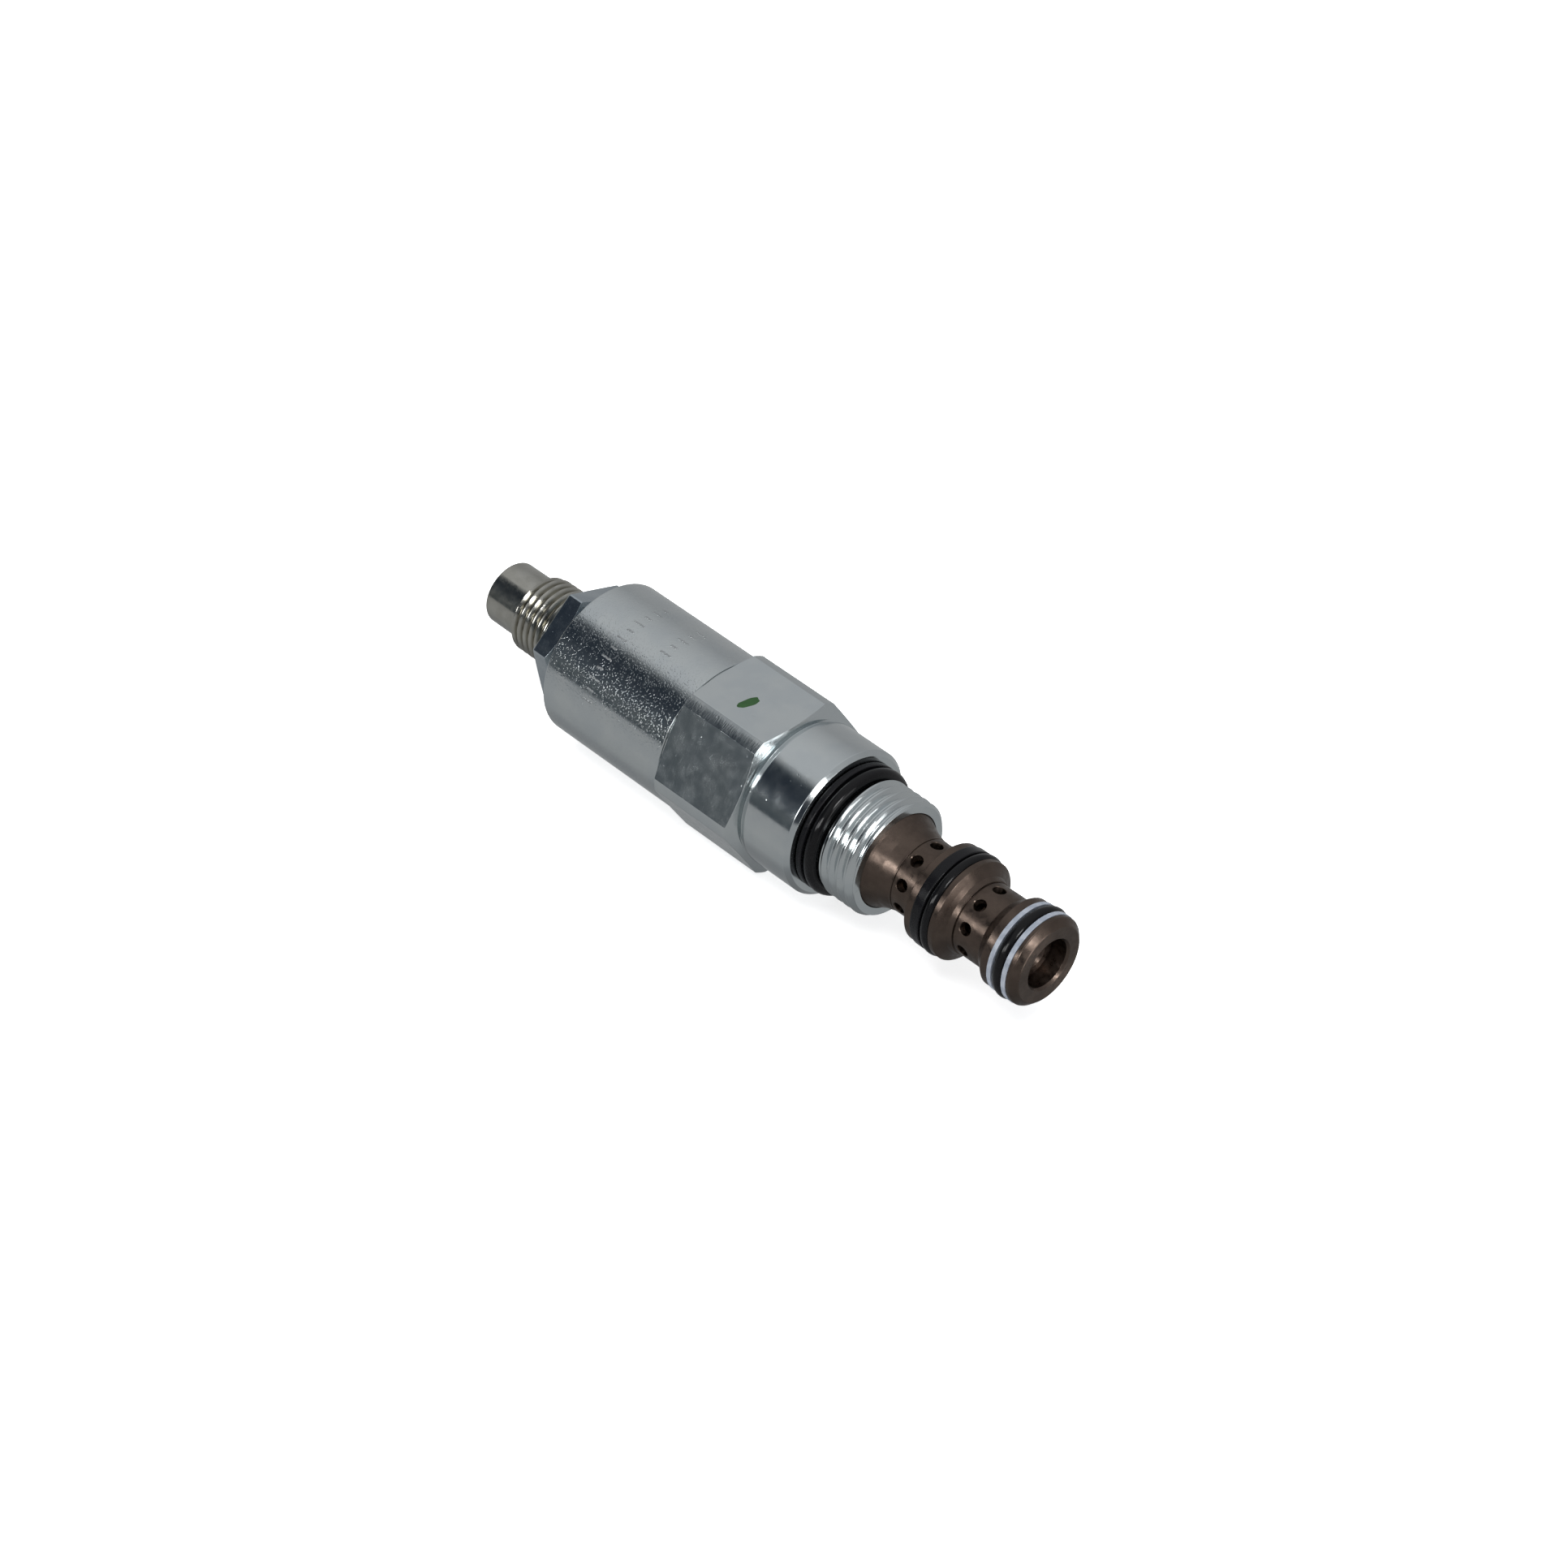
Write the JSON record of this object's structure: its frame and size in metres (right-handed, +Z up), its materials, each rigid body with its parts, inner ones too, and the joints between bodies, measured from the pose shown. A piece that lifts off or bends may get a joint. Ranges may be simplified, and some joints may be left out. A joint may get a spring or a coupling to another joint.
{
  "type": "screw-in hydraulic cartridge valve",
  "caption": "Screw-in hydraulic cartridge valve with an outside pressure adjuster: plated hex body, browned cage with cross holes, spool, spring, jam nut and seals",
  "frame": {"origin": "under the middle of the valve, on the hexagon flat that it lies on, at the lowest point of the part", "axes": "+X along the valve axis towards the nose; +Z up, square to the flat that it lies on; +Y sideways. The valve axis is 12.65 mm above the origin."},
  "size_m": [0.1132, 0.028, 0.0253],
  "materials": {
    "zinc_plated_steel": "bright bluish zinc plating over turned and milled steel",
    "stainless_steel": "turned, slightly warm in colour",
    "browned_cage_steel": "dark bronze-brown conversion coat, half gloss, with fine turning marks",
    "hardened_steel": "ground",
    "spring_steel": "drawn wire, lightly oiled",
    "black_rubber": "smooth, oiled",
    "white_ptfe": "bluish white, smooth"
  },
  "bodies": {
    "valve_body": {"valve_body": "zinc_plated_steel", "spring_housing": "zinc_plated_steel", "housing_oring": "black_rubber", "cage": "browned_cage_steel", "cage_oring": "black_rubber", "main_spring": "spring_steel", "port_oring": "black_rubber", "port_backup_ring": "black_rubber", "mid_oring": "black_rubber", "mid_backup_ring": "black_rubber", "nose_front_backup_ring": "white_ptfe", "nose_oring": "black_rubber", "nose_rear_backup_ring": "white_ptfe"},
    "spool": {"spool": "hardened_steel", "lower_spring_seat": "hardened_steel"},
    "spring_follower": {"upper_spring_seat": "hardened_steel", "spring_shim": "spring_steel"},
    "adjusting_screw": {"adjusting_screw": "stainless_steel", "adjuster_oring": "black_rubber", "adjuster_backup_ring": "white_ptfe"},
    "jam_nut": {"jam_nut": "zinc_plated_steel"}
  },
  "joints": [
    {"name": "spool_slide", "type": "slide", "parent": "valve_body", "child": "spool", "axis": [-1, 0, 0], "range_m": [0, 0.003], "stiffness_N_per_m": 3000, "springref_m": -0.003, "deforming": ["main_spring"]},
    {"name": "follower_slide", "type": "slide", "parent": "valve_body", "child": "spring_follower", "axis": [1, 0, 0], "range_m": [-0.00127, 0.00508], "deforming": ["main_spring"]},
    {"name": "screw_turn", "type": "hinge", "parent": "spring_follower", "child": "adjusting_screw", "pos_m": [-0.04839, 0, 0.01265], "axis": [1, 0, 0], "range_deg": [-361, 1441]},
    {"name": "jam_nut_turn", "type": "hinge", "parent": "valve_body", "child": "jam_nut", "pos_m": [-0.03878, 0, 0.01265], "axis": [1, 0, 0], "range_deg": [-360, 0]}
  ],
  "couplings": [
    {"joint": "screw_turn", "follows": "follower_slide", "rad_per_m": 4947.4}
  ]
}
